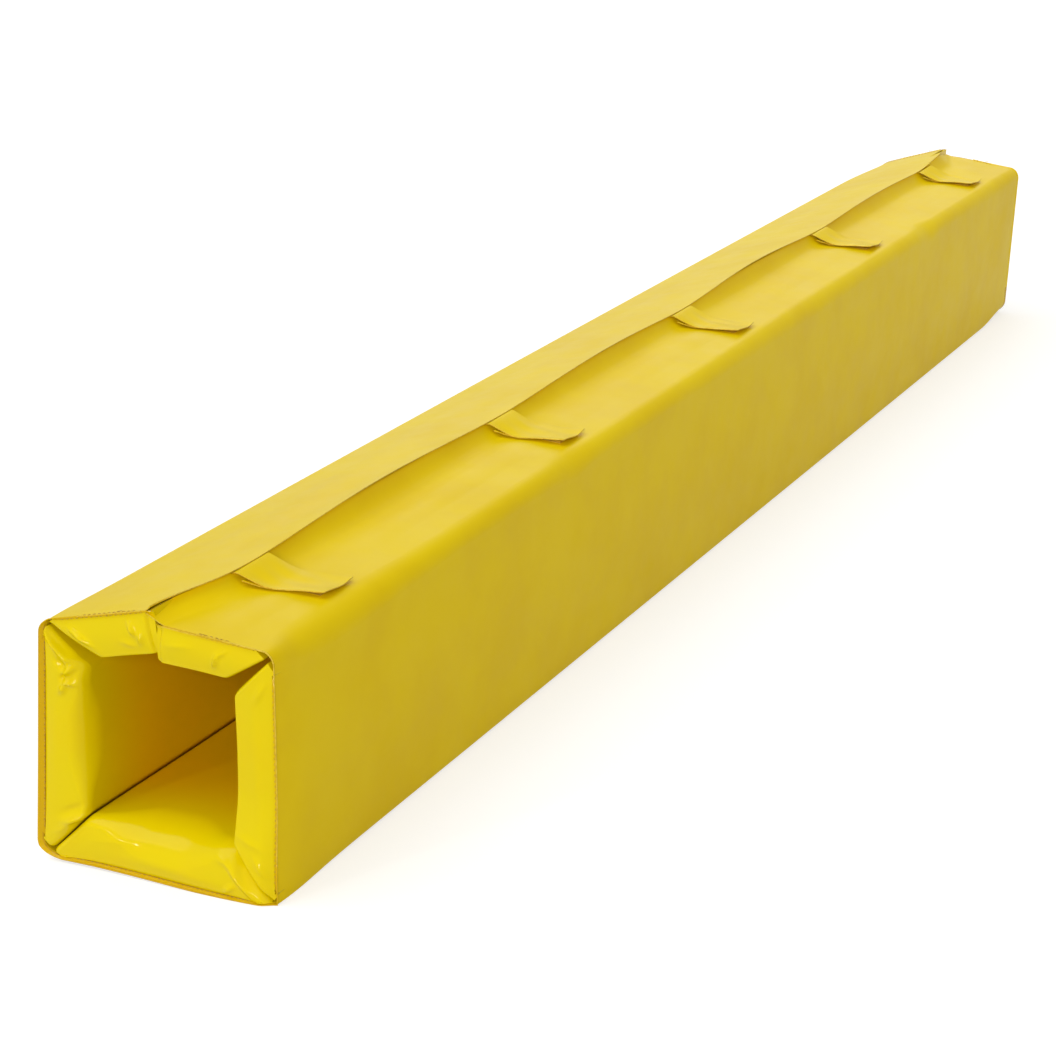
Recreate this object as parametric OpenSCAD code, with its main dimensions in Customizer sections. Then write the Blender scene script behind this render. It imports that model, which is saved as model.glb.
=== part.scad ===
// Column pad: a square sleeve of four padded walls that closes round a post.
// The bottom, left and right walls are whole panels. The top wall is two half panels
// that meet in the middle, where a flap and five tabs hold the sleeve shut.
// X runs across the sleeve, Y along it and Z up. The origin is the middle of the base.

/* [Post and walls] */
// Side of the square post that the sleeve closes round
post_side = 130; // [80:5:200]
// Thickness of each padded wall
wall = 35; // [30:1:60]
// Length of the sleeve
pad_length = 2000; // [1200:50:3000]

/* [Coated cloth] */
// Thickness of the coated cloth
sheet_t = 0.8; // [0.5:0.1:1.5]
// Outside radius of the cloth where it turns a corner
fold_r = 12; // [9:1:18]
// Cloth that stands past each end of the foam, where cover and lining are sewn
seam_w = 3; // [1:0.5:8]
// Radius of the rolled inner edge at each end
end_roll = 16; // [6:1:25]

/* [Clearances] */
// Free space between two mitred faces
mitre_gap = 2; // [1:0.5:4]
// How far each top half stops short of the middle
joint_set_back = 6.5; // [6:0.5:12]
// Free space between pieces that only touch
touch_gap = 0.3; // [0.2:0.1:0.6]
// Free space between the cloth round a corner and the covers that it joins
fold_gap = 0.05; // [0.02:0.01:0.1]

/* [Top halves] */
// Angle that the left half is tipped up at rest
left_tip = 12; // [8:1:14]
// Angle that the right half is tipped up at rest
right_tip = 6; // [4:1:8]

/* [Flap and lip] */
// Width of the flap beyond the left half
flap_w = 21; // [18:1:26]
// Drop of the flap's free edge below the plane of the left half, at the tabs
flap_drop = 1.5; // [0.5:0.5:3]
// Height of the waves along the flap's free edge
flap_wave = 5.2; // [2:0.1:7]
// Width across the right half over which the lip curves up
lip_w = 24; // [18:1:28]
// Steep part of the lip, nearest to the joint
lip_steep = 11; // [8:1:14]
// How far the lip's top edge stays inside the flap's free edge
lip_tuck = 3; // [2:0.5:6]
// Width of the lip's foot, sewn down on the right half
lip_foot = 6; // [4:1:8]

/* [Tabs] */
// Width of each tab along the sleeve
tab_w = 50; // [30:5:80]
// Distance from each end of the sleeve to the nearest tab
tab_margin = 100; // [60:10:200]
// Distance from the right corner to the tabs' free ends
tab_reach = 20; // [10:1:24]
// Lift of each tab's free end
tab_lift = 1.5; // [0.5:0.5:3]
// Size of the hook and loop tapes across the sleeve
tape_w = 32; // [25:1:36]
// Thickness of the hook tape and of the loop tape
tape_t = 1; // [0.6:0.1:1.5]
// Margin of each tab round its tape
tape_margin = 3; // [2:1:8]

/* [Hidden] */
$fn = 96;
tab_count = 5;
outer = post_side + 2 * wall;
half_w = outer / 2 - joint_set_back;
foam_length = pad_length - 2 * seam_w;
tab_pitch = (pad_length - 2 * tab_margin - tab_w) / (tab_count - 1);

// The fold keeps its length when the walls open flat if the walls turn about a line
// this far inside both outer faces.
fold_inset = fold_r * (1 - PI / 4);

// A mitred face starts at the fold's inner side and runs at 45 degrees.
mitre_s = mitre_gap / sqrt(2);
mitre_t = fold_r - (fold_r - sheet_t) / sqrt(2);

// Places of the loop tape on the right half, from the corner
loop_start = tab_reach + tape_margin;
tab_flat_end = loop_start + tape_w + tape_margin;

// How far a cutter passes the sides of what it cuts
spare = 1;

// Facets along the flap, across the flap and across the lip
flap_rows = 80;
flap_cols = 5;
lip_steps = 8;

// Centre of each tab along the sleeve, counted from the front
function tab_y(n) = -pad_length / 2 + tab_margin + tab_w / 2 + n * tab_pitch;

// A point of the tipped right half, s from its corner and t below its outer face,
// given as X and Z
function top_point(s, t, tip) =
  let (a = fold_inset - s, b = fold_inset - t)
  [
    outer / 2 - fold_inset + a * cos(tip) + b * sin(tip),
    outer - fold_inset - a * sin(tip) + b * cos(tip)
  ];
function right_point(s, t) = top_point(s, t, right_tip);
function left_point(s, t) =
  let (p = top_point(s, t, left_tip))
  [-p[0], p[1]];

// Places a panel that was drawn flat: X from its corner, Z from its outer face inward
module on_bottom() {
  translate([-outer / 2, 0, 0])
    children();
}

module on_right() {
  translate([outer / 2, 0, 0])
    rotate([0, -90, 0])
      children();
}

module on_left() {
  mirror([1, 0, 0])
    on_right()
      children();
}

module on_top(tip) {
  translate([outer / 2 - fold_inset, 0, outer - fold_inset])
    rotate([0, tip, 0])
      translate([fold_inset, 0, fold_inset])
        rotate([0, 180, 0])
          children();
}

module on_top_right() {
  on_top(right_tip)
    children();
}

module on_top_left() {
  mirror([1, 0, 0])
    on_top(left_tip)
      children();
}

// An outline in X and Z carried along Y
module along(len) {
  rotate([90, 0, 0])
    linear_extrude(len, center = true)
      children();
}

// Outline of a panel's padding, taken in by e on every side but the outer one.
// skirt lowers the outer side, so that a cutter passes through it.
module whole_outline(e, skirt) {
  in = e * sqrt(2);
  top_s = wall - e + mitre_s + in;
  polygon([
    [fold_r + in, sheet_t - skirt],
    [outer - fold_r - in, sheet_t - skirt],
    [outer - fold_r - in, sheet_t],
    [outer - mitre_t - mitre_s - in, mitre_t],
    [outer - top_s, wall - e],
    [top_s, wall - e],
    [mitre_t + mitre_s + in, mitre_t],
    [fold_r + in, sheet_t]
  ]);
}

module half_outline(e, skirt) {
  in = e * sqrt(2);
  top_s = wall - e + mitre_s + in;
  polygon([
    [fold_r + in, sheet_t - skirt],
    [half_w - e, sheet_t - skirt],
    [half_w - e, wall - e],
    [top_s, wall - e],
    [mitre_t + mitre_s + in, mitre_t],
    [fold_r + in, sheet_t]
  ]);
}

// What the rolled inner edge takes off one end of a panel
module roll_cut(w, e) {
  r = end_roll - e;
  y = foam_length / 2 - end_roll;
  difference() {
    translate([-spare, y, wall - end_roll])
      cube([w + 2 * spare, end_roll + spare, end_roll + spare]);
    translate([-2 * spare, y, wall - end_roll])
      rotate([0, 90, 0])
        cylinder(r = r, h = w + 4 * spare);
  }
}

module rolled(w, e) {
  difference() {
    children();
    roll_cut(w, e);
    mirror([0, 1, 0])
      roll_cut(w, e);
  }
}

module whole_block(e, skirt) {
  rolled(outer, e)
    along(foam_length - 2 * e)
      whole_outline(e, skirt);
}

module half_block(e, skirt) {
  rolled(half_w, e)
    along(foam_length - 2 * e)
      half_outline(e, skirt);
}

// Seam allowance of a lining: from the end wall, a strip that lies on the cover past
// each end of the foam
module seam_strips(w_from, w_to) {
  for (side = [0, 1])
    mirror([0, side, 0])
      translate([w_from, foam_length / 2 - sheet_t, sheet_t])
        cube([w_to - w_from, seam_w + sheet_t, sheet_t]);
}

// Outer cover of a panel, a flat sheet between its folds
module cover(w_to) {
  color("gold")
    translate([fold_r, -pad_length / 2, 0])
      cube([w_to - fold_r, pad_length, sheet_t]);
}

// Lining of a panel: inner face, mitred faces and rolled ends in one sheet
module whole_lining() {
  color("gold")
    union() {
      difference() {
        whole_block(0, 0);
        whole_block(sheet_t, spare);
      }
      seam_strips(fold_r, outer - fold_r);
    }
}

module half_lining() {
  color("gold")
    union() {
      difference() {
        half_block(0, 0);
        half_block(sheet_t, spare);
      }
      seam_strips(fold_r, half_w);
    }
}

module whole_foam() {
  color("ivory")
    whole_block(sheet_t, 0);
}

module half_foam() {
  color("ivory")
    half_block(sheet_t, 0);
}

// Cloth round a corner that turns by the given angle. Its radius makes it meet both
// covers edge to edge, whatever the angle, but for fold_gap at each end.
module corner_fold(turn) {
  r = (fold_r - fold_inset) / tan(turn / 2) + fold_inset;
  gap_angle = fold_gap / r * 180 / PI;
  color("gold")
    translate([outer / 2 - r, 0, outer - fold_r])
      rotate([90, 0, 0])
        rotate([0, 0, gap_angle])
          rotate_extrude(angle = turn - 2 * gap_angle)
            translate([r - sheet_t, -pad_length / 2])
              square([sheet_t, pad_length]);
}

module fold_top_right() {
  corner_fold(90 - right_tip);
}

module fold_top_left() {
  mirror([1, 0, 0])
    corner_fold(90 - left_tip);
}

module fold_bottom_right() {
  translate([0, 0, outer])
    mirror([0, 0, 1])
      corner_fold(90);
}

module fold_bottom_left() {
  mirror([1, 0, 0])
    fold_bottom_right();
}

// Flap: the left half's cloth carried past the joint. The tabs pull its free edge down,
// and between them it stands up in waves.
function flap_edge_drop(y) =
  flap_drop - flap_wave * (1 - cos(360 * (y - tab_y(0)) / tab_pitch)) / 2;
function flap_y(row) = -pad_length / 2 + pad_length * row / flap_rows;
function flap_t(u, y) = flap_edge_drop(y) * u * u;
function flap_point(row, col, depth) =
  let (u = col / flap_cols, y = flap_y(row), p = left_point(half_w + u * flap_w, flap_t(u, y) + depth))
  [p[0], y, p[1]];

// A closed slab between an upper and a lower grid of points, rows by columns
module slab(rows, cols, points) {
  n = cols + 1;
  m = (rows + 1) * n;
  top = [for (r = [0:rows - 1]) for (c = [0:cols - 1])
    each [
      [r * n + c, (r + 1) * n + c, (r + 1) * n + c + 1],
      [r * n + c, (r + 1) * n + c + 1, r * n + c + 1]
    ]];
  under = [for (f = top) [f[2] + m, f[1] + m, f[0] + m]];
  ends = [for (c = [0:cols - 1])
    each [
      [c, c + 1, c + 1 + m],
      [c, c + 1 + m, c + m],
      [rows * n + c + 1, rows * n + c, rows * n + c + m],
      [rows * n + c + 1, rows * n + c + m, rows * n + c + 1 + m]
    ]];
  sides = [for (r = [0:rows - 1])
    each [
      [(r + 1) * n, r * n, r * n + m],
      [(r + 1) * n, r * n + m, (r + 1) * n + m],
      [r * n + cols, (r + 1) * n + cols, (r + 1) * n + cols + m],
      [r * n + cols, (r + 1) * n + cols + m, r * n + cols + m]
    ]];
  polyhedron(points, concat(top, under, ends, sides));
}

module closing_flap() {
  color("khaki")
    slab(flap_rows, flap_cols, [
      for (depth = [0, sheet_t])
        for (row = [0:flap_rows])
          for (col = [0:flap_cols])
            flap_point(row, col, depth)
    ]);
}

// A path offset to one side by th, with square ends
function direction(path, i) =
  let (
    a = path[max(i - 1, 0)],
    b = path[min(i + 1, len(path) - 1)],
    d = b - a
  )
  d / norm(d);
function offset_path(path, th) =
  [for (i = [0:len(path) - 1]) let (d = direction(path, i)) path[i] + th * [d[1], -d[0]]];
function backwards(path) = [for (i = [len(path) - 1:-1:0]) path[i]];

// Lip: the right half's cloth and lining, sewn together, standing up under the flap.
// Its foot lies on the cover, and a curve of three control points leads up from there.
function lip_point(u) =
  let (
    foot = right_point(half_w - lip_w, 0),
    bend = right_point(half_w - lip_steep, 0),
    top = left_point(half_w + flap_w - lip_tuck, flap_drop + sheet_t + 3 * touch_gap)
  )
  (1 - u) * (1 - u) * foot + 2 * u * (1 - u) * bend + u * u * top;
module closing_lip() {
  under = concat(
    [right_point(half_w - lip_w - lip_foot, 0)],
    [for (i = [0:lip_steps]) lip_point(i / lip_steps)]
  );
  color("gold")
    along(pad_length)
      polygon(concat(under, backwards(offset_path(under, sheet_t))));
}

// Tab: hangs at the flap's free edge, comes down to the right half and lies along it.
// tab_under is the height of its underside over the right half, where it lies flat.
tab_under = -2 * tape_t - touch_gap;
function tab_path() =
  let (
    edge = left_point(half_w + flap_w, flap_drop + sheet_t),
    root = [edge[0] + touch_gap, edge[1]]
  )
  [
    root,
    right_point(tab_flat_end, tab_under),
    right_point(loop_start, tab_under),
    right_point(tab_reach, tab_under - tab_lift)
  ];

module tab(n) {
  path = tab_path();
  color("khaki")
    translate([0, tab_y(n), 0])
      along(tab_w)
        polygon(concat(path, backwards(offset_path(path, -sheet_t))));
}

// Tape under a tab or on the right half, between two depths
module tape(n, from_t) {
  w = tab_w - 2 * tape_margin;
  color("goldenrod")
    on_top_right()
      translate([loop_start, tab_y(n) - w / 2, from_t])
        cube([tape_w, w, tape_t]);
}

module hook_tape(n) {
  tape(n, tab_under);
}

module loop_tape(n) {
  tape(n, -tape_t);
}

on_bottom() cover(outer - fold_r);  // cover_bottom
on_left() cover(outer - fold_r);  // cover_left
on_right() cover(outer - fold_r);  // cover_right
on_top_left() cover(half_w);  // cover_top_left
on_top_right() cover(half_w);  // cover_top_right
on_bottom() whole_lining();  // lining_bottom
on_left() whole_lining();  // lining_left
on_right() whole_lining();  // lining_right
on_top_left() half_lining();  // lining_top_left
on_top_right() half_lining();  // lining_top_right
on_bottom() whole_foam();  // foam_bottom
on_left() whole_foam();  // foam_left
on_right() whole_foam();  // foam_right
on_top_left() half_foam();  // foam_top_left
on_top_right() half_foam();  // foam_top_right
fold_bottom_left();
fold_bottom_right();
fold_top_left();
fold_top_right();
closing_flap();
closing_lip();
tab(0);  // tab_1
tab(1);  // tab_2
tab(2);  // tab_3
tab(3);  // tab_4
tab(4);  // tab_5
hook_tape(0);  // hook_tape_1
hook_tape(1);  // hook_tape_2
hook_tape(2);  // hook_tape_3
hook_tape(3);  // hook_tape_4
hook_tape(4);  // hook_tape_5
loop_tape(0);  // loop_tape_1
loop_tape(1);  // loop_tape_2
loop_tape(2);  // loop_tape_3
loop_tape(3);  // loop_tape_4
loop_tape(4);  // loop_tape_5
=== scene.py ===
"""Column pad: a square foam sleeve in yellow coated cloth that closes round a post.

X runs across the sleeve, Y along it (the front end is at -Y) and Z up, as in the
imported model. Shapes are worked out in millimetres and put into the meshes in metres.
Every cloth piece is a grid of points, and a Solidify modifier gives it its thickness.
"""

from math import acos, cos, pi, radians, sin

import bmesh
import bpy
import numpy as np
from mathutils import Matrix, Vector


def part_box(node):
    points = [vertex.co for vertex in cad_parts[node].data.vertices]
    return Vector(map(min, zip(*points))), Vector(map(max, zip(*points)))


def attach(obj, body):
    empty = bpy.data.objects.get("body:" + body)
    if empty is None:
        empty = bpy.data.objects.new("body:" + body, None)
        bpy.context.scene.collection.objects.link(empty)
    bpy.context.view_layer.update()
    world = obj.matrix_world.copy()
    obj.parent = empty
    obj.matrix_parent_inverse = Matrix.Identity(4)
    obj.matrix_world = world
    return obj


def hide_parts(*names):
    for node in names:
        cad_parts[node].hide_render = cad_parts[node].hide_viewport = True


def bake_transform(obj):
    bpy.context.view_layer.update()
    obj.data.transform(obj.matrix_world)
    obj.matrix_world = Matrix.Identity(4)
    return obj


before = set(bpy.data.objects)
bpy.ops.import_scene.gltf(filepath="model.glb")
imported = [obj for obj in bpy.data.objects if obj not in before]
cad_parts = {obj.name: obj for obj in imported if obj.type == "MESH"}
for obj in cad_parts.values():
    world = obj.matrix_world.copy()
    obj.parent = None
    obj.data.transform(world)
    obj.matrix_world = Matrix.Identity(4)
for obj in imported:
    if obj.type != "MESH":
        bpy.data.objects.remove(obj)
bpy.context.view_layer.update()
scene = bpy.context.scene

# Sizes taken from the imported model, in millimetres
MM = 1000.0
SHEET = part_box("cover_bottom")[1].z * MM
OUTER = 2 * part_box("cover_right")[1].x * MM
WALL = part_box("lining_bottom")[1].z * MM
HALF_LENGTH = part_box("cover_right")[1].y * MM
FOLD_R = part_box("cover_right")[0].z * MM
TAB_COUNT = 5
TAB_BOXES = [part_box(f"tab_{n + 1}") for n in range(TAB_COUNT)]
TAB_W = (TAB_BOXES[0][1].y - TAB_BOXES[0][0].y) * MM
TAB_Y = [(low.y + high.y) / 2 * MM for low, high in TAB_BOXES]
TAB_PITCH = TAB_Y[1] - TAB_Y[0]

# The end seams run 3 mm inside the ends; the cut edges stand out past them
END_Y = HALF_LENGTH - 3.0
# The top halves meet 6.5 mm to the right of the middle, turned down about their folds
HALF_W = OUTER / 2 - 6.5
FOLD_INSET = FOLD_R * (1 - pi / 4)
LEFT_TIP = radians(12)
RIGHT_TIP = radians(6)

# How the sleeve lies, at its front and back ends: lean of its top to the right, and share of its
# height that is left under its own weight
LEAN_FRONT, LEAN_BACK = 6.0, 14.0
SQUASH_FRONT, SQUASH_BACK = 0.98, 0.997
# How far single places settle: the left wall's foot outwards, the left top corner down and the
# joint up at the back end, and the front end's foot down and forwards on the right
FOOT_SWELL, CORNER_DROOP, JOINT_RISE, FOOT_SINK, FOOT_SLUMP = 11.0, 5.0, 3.6, 3.4, 9.0

# Cloth round the corners reaches this far onto each face
STRIP = 36.0

PANELS = ("bottom", "left", "right", "top_left", "top_right")


# Small functions of numbers and arrays

def ramp(a, b, x):
    """Rises smoothly from 0 at a to 1 at b: 3k^2 - 2k^3 of the share k of the way."""
    k = np.clip((x - a) / (b - a), 0, 1)
    return k * k * (3 - 2 * k)


def hump(x, centre, width):
    """A bell curve of height 1: e to the power of minus ((x - centre) / width)^2."""
    return np.exp(-(((x - centre) / width) ** 2))


def near_end(y, reach, end=-1):
    """1 at the front end (end=-1) or the back one (1), falling smoothly to 0 reach mm in."""
    return 1 - ramp(0, reach, HALF_LENGTH - end * y)


def steps(n):
    """A column of n even steps from 0 to 1."""
    return np.linspace(0, 1, n)[:, None]


def unit(v):
    """Vectors at length 1."""
    return v / np.linalg.norm(v, axis=-1, keepdims=True)


def conic(a, b, c, w, q):
    """The curve from a to c that heads for b first: their mean with the shares (1 - q)^2,
    2wq(1 - q) and q^2. The weight w makes it a parabola at 1 and a sharper bend above."""
    f, g, h = (1 - q) ** 2, 2 * w * q * (1 - q), q**2
    return (f * a + g * b + h * c) / (f + g + h)


# Places on the panels: s runs along a panel's outer face from one corner, t is the depth
# below that face

def on_top(s, t, tip):
    """Right half: s from its corner and t below its face, turned down by tip about the fold."""
    a, b = FOLD_INSET - s, FOLD_INSET - t
    x = OUTER / 2 - FOLD_INSET + a * cos(tip) + b * sin(tip)
    return x, OUTER - FOLD_INSET - a * sin(tip) + b * cos(tip)


def on_top_right(s, t):
    """The right half is tipped by RIGHT_TIP."""
    return on_top(s, t, RIGHT_TIP)


def on_top_left(s, t):
    """The left half is a mirror image, tipped by LEFT_TIP."""
    x, z = on_top(s, t, LEFT_TIP)
    return -x, z


def by_panel(*values):
    """One value for each panel, in the order of PANELS."""
    return dict(zip(PANELS, values))


# s runs from the left corner on the bottom panel and upwards on the two at the sides
PLACE = by_panel(
    lambda s, t: (s - OUTER / 2, t),
    lambda s, t: (t - OUTER / 2, s),
    lambda s, t: (OUTER / 2 - t, s),
    on_top_left,
    on_top_right,
)
BODY = by_panel("bottom_panel", "left_panel", "right_panel", "left_top_half", "right_top_half")
SEEN_FROM = by_panel((0, 0, -1), (-1, 0, 0), (1, 0, 0), (0, 0, 1), (0, 0, 1))


def settle(p):
    """How the filled sleeve lies: x moves right in proportion to height, height shrinks a little,
    and five single movements are each an amount times smooth shares in x, y and z."""
    x, y, z = np.moveaxis(np.array(p, float), -1, 0)
    share = (y + HALF_LENGTH) / (2 * HALF_LENGTH)
    lean = LEAN_FRONT + (LEAN_BACK - LEAN_FRONT) * share**2
    squash = SQUASH_FRONT + (SQUASH_BACK - SQUASH_FRONT) * share
    side = np.clip(-x / (OUTER / 2), 0, 1)
    foot = np.clip(1 - (z - 16) / 178, 0, 1)
    front = hump(y, -HALF_LENGTH, 130)
    swell = FOOT_SWELL * side**3 * foot * front
    droop = CORNER_DROOP * side**3 * ramp(60, OUTER, z) * near_end(y, 170, 1)
    rise = JOINT_RISE * hump(x, 14, 46) * ramp(150, OUTER, z) * near_end(y, 220, 1)
    sink = FOOT_SINK * np.clip((x + 60) / 160, 0, 1) * (1 - ramp(0, 70, z))
    sink = sink * hump(y, -HALF_LENGTH, 60)
    slump = FOOT_SLUMP * hump(x, 74, 100) * (1 - 0.6 * ramp(86, 100, x)) * (1 - ramp(10, 90, z))
    height = np.maximum(z * squash - droop + rise - sink, 0)
    return np.stack([x + lean * z / OUTER - swell, y - slump * front, height], -1)


# Meshes

def grid_quads(rows, cols, closed=False):
    """Quads between neighbouring rows and columns of a grid, whose rows may be closed rings."""
    k = np.arange(rows * cols).reshape(rows, cols)
    nxt = np.roll(k, -1, axis=1)
    quads = np.stack([k[:-1], nxt[:-1], nxt[1:], k[1:]], -1)
    return quads[:, :cols if closed else cols - 1].reshape(-1, 4)


def mark_border_sharp(mesh):
    """Edges of only one face are sharp, so that a cut edge doesn't shade its sheet."""
    used = np.zeros(len(mesh.loops), int)
    mesh.loops.foreach_get("edge_index", used)
    border = np.bincount(used, minlength=len(mesh.edges)) == 1
    sharp = np.zeros(len(mesh.edges), bool)
    mesh.edges.foreach_get("use_edge_sharp", sharp)
    mesh.edges.foreach_set("use_edge_sharp", sharp | border)


def new_mesh(name, points, quads, material, smooth_angle=40):
    """A mesh object from points in millimetres, smooth but for edges sharper than the angle."""
    mesh = bpy.data.meshes.new(name)
    points = (np.asarray(points) / MM).reshape(-1, 3)
    mesh.from_pydata(points.tolist(), [], np.asarray(quads).tolist())
    mesh.materials.append(material)
    mesh.shade_smooth()
    mesh.update()
    if smooth_angle:
        mesh.set_sharp_from_angle(angle=radians(smooth_angle))
        mark_border_sharp(mesh)
    piece = bpy.data.objects.new(name, mesh)
    scene.collection.objects.link(piece)
    return piece


def cloth(name, grid, seen_from, material, edge, smooth_angle=40, crease=False):
    """A sheet from a grid of points. Its faces turn towards seen_from at the grid's middle, and
    Solidify adds SHEET behind them. The cut edge has its own material and, with crease, so do the
    seam allowance at both ends and the crease where it turns out, whose darker colours are painted
    shade."""
    grid = settle(grid)
    rows, cols = grid.shape[:2]
    quads = grid_quads(rows, cols)
    r, c = rows // 2, cols // 2
    normal = np.cross(grid[r, c + 1] - grid[r, c], grid[r + 1, c] - grid[r, c])
    if normal @ np.array(seen_from) < 0:
        quads = quads[:, ::-1]
    piece = new_mesh(name, grid, quads, material, smooth_angle)
    piece.data.materials.append(edge)
    if crease:
        piece.data.materials.append(PAINTED_CREASE_SHADE)
        piece.data.materials.append(ALLOWANCE_PAINTED_SHADE)
        # Painted shade: the crease row next to each end seam and the seam allowance rows get darker
        # materials
        index = np.zeros((rows - 1, cols - 1), np.int32)
        index[2] = index[-3] = 2
        index[:2] = index[-2:] = 3
        piece.data.polygons.foreach_set("material_index", index.ravel())
    thick = piece.modifiers.new("cloth", "SOLIDIFY")
    thick.thickness = SHEET / MM
    thick.offset = -1
    thick.use_rim = True
    thick.material_offset_rim = 1
    return piece


def thin_rod(path, radius):
    """A rod along a path in its own (x, z) plane: at each point a square ring of the radius (one
    number or one a point) at right angles to the path, and a face at both ends."""
    path = np.asarray(path, float)
    along = unit(np.gradient(path, axis=0))
    turn = 2 * pi * (np.arange(4) + 0.5) / 4
    r = np.broadcast_to(radius, len(path))[:, None]
    across, up = np.cos(turn) * r, np.sin(turn) * r
    x = path[:, :1] - along[:, 1:] * up
    z = path[:, 1:] + along[:, :1] * up
    points = np.stack([x, across, z], -1).reshape(-1, 3)
    k = np.arange(len(path) * 4).reshape(-1, 4)
    return points, np.concatenate([grid_quads(len(path), 4, True), k[[0]][:, [0, 3, 2, 1]], k[-1:]])


def many(template, places, xs, ys, zs):
    """Copies of a template: each point is place + x * xs + y * ys + z * zs, with one place and
    three directions a copy."""
    points, quads = template
    x, y, z = points[None, :, :1], points[None, :, 1:2], points[None, :, 2:]
    every = places[:, None] + x * xs[:, None] + y * ys[:, None] + z * zs[:, None]
    step = np.arange(len(places))[:, None, None] * len(points)
    return every.reshape(-1, 3), (quads[None] + step).reshape(-1, 4)


# Materials

def colour(code):
    """sRGB hex colour to linear red, green, blue, alpha."""
    c = np.array([int(code[k:k + 2], 16) for k in (1, 3, 5)]) / 255
    c = np.where(c <= 0.04045, c / 12.92, ((c + 0.055) / 1.055) ** 2.4)
    return (*c, 1.0)


def node(tree, kind, inputs=(), **settings):
    """Adds a shader node, sets its properties, and sets or links its inputs, given by name or in
    order, with a hex colour made linear. It returns the node's outputs."""
    n = tree.nodes.new("ShaderNode" + kind)
    for key, value in settings.items():
        setattr(n, key, value)
    for key, value in inputs.items() if isinstance(inputs, dict) else enumerate(inputs):
        if isinstance(value, bpy.types.NodeSocket):
            tree.links.new(value, n.inputs[key])
        else:
            n.inputs[key].default_value = colour(value) if isinstance(value, str) else value
    return n.outputs


SHADER = "Principled BSDF"
SMOOTH = {"interpolation_type": "SMOOTHSTEP"}
COLOURS = {"data_type": "RGBA"}


def finish(name, **constants):
    """A new material with these shader constants, its tree and its Object coordinates."""
    m = bpy.data.materials.new(name)
    m.use_nodes = True
    for key, value in constants.items():
        m.node_tree.nodes[SHADER].inputs[key.replace("_", " ")].default_value = value
    return m, m.node_tree, node(m.node_tree, "TexCoord")["Object"]


def surface(m, base, roughness, height, strength, depth):
    """Links base colour, roughness and a bump of depth metres to a material, and returns it."""
    tree = m.node_tree
    bump = node(tree, "Bump", {"Height": height, "Strength": strength, "Distance": depth})
    links = {"Base Color": base, "Roughness": roughness, "Normal": bump[0]}
    for key, value in links.items():
        tree.links.new(value, tree.nodes[SHADER].inputs[key])
    return m


def coated_cover_cloth():
    """PVC-coated polyester with a fine leather grain: an even satin yellow whose gloss wanders
    where it was handled, with faint scuffs. The grain is 0.6 mm and is drawn at 1.8 mm, as a pixel
    of the render is about 0.8 mm."""
    m, t, place = finish("coated_cloth_satin", IOR=1.53, Specular_IOR_Level=0.04)
    spots = node(t, "TexNoise", dict(Vector=place, Scale=MM / 110, Detail=4, Roughness=0.6))
    handled = node(t, "MapRange", (spots[0], 0.35, 0.7, 0, 0.6), **SMOOTH)
    base = node(t, "Mix", {0: handled[0], 6: "#E7CA06", 7: "#E0BF05"}, **COLOURS)
    marks = node(t, "TexNoise", dict(Vector=place, Scale=MM / 7, Detail=5, Roughness=0.75))
    scuffs = node(t, "MapRange", (marks[0], 0.66, 0.74, 0, 0.16), **SMOOTH)
    base = node(t, "Mix", {0: scuffs[0], 6: base[2], 7: "#C9A51C"}, **COLOURS)
    gloss = node(t, "TexNoise", dict(Vector=place, Scale=MM / 30, Detail=6, Roughness=0.7))
    rough = node(t, "MapRange", (gloss[0], 0.25, 0.8, 0.36, 0.47), **SMOOTH)
    grain = node(t, "TexNoise", dict(Vector=place, Scale=MM / 1.8, Detail=2, Roughness=0.55))
    return surface(m, base[2], rough[0], grain[0], 0.35, 0.00012)


def coated_lining_cloth(name, ends, deep, worn):
    """The same cloth with its gloss side out, as the ends and the inside show it: small sharp
    highlights on every pucker. The ends are lemon; the inside is painted a deeper amber, which
    stands in for the light that the yellow walls throw on each other there."""
    m, t, place = finish(name, IOR=1.53, Specular_IOR_Level=0.10)
    y = node(t, "SeparateXYZ", [place])["Y"]
    far = node(t, "Math", [y], operation="ABSOLUTE")
    # Painted light: away from the ends the colour turns from ends to deep, an amber that stands in
    # for light bounced between the yellow walls inside
    painted_light_fade = node(t, "MapRange", (far[0], 0.9, 0.995), **SMOOTH)
    base = node(t, "Mix", {0: painted_light_fade[0], 6: deep, 7: ends}, **COLOURS)
    spots = node(t, "TexNoise", dict(Vector=place, Scale=MM / 60, Detail=4, Roughness=0.6))
    handled = node(t, "MapRange", (spots[0], 0.4, 0.7, 0, 0.25), **SMOOTH)
    base = node(t, "Mix", {0: handled[0], 6: base[2], 7: worn}, **COLOURS)
    gloss = node(t, "TexNoise", dict(Vector=place, Scale=MM / 20, Detail=5, Roughness=0.7))
    rough = node(t, "MapRange", (gloss[0], 0.25, 0.8, 0.08, 0.17), **SMOOTH)
    grain = node(t, "TexNoise", dict(Vector=place, Scale=MM / 2.4, Detail=3, Roughness=0.55))
    return surface(m, base[2], rough[0], grain[0], 0.3, 0.00008)


def cut_edge():
    """The cut edge of coated cloth: pale scrim between two yellow films, soiled in places. The
    threads are 0.5 mm apart and are drawn at 2 mm."""
    m, t, place = finish("cut_cloth_edge", IOR=1.5, Specular_IOR_Level=0.2)
    threads = node(t, "TexNoise", dict(Vector=place, Scale=MM / 2, Detail=3, Roughness=0.7))
    specks = node(t, "MapRange", (threads[0], 0.42, 0.62), **SMOOTH)
    base = node(t, "Mix", {0: specks[0], 6: "#D8BA38", 7: "#C4A22A"}, **COLOURS)
    rough = node(t, "MapRange", (specks[0], 0, 1, 0.6, 0.8), **SMOOTH)
    return surface(m, base[2], rough[0], specks[0], 0.4, 0.0002)


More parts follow.
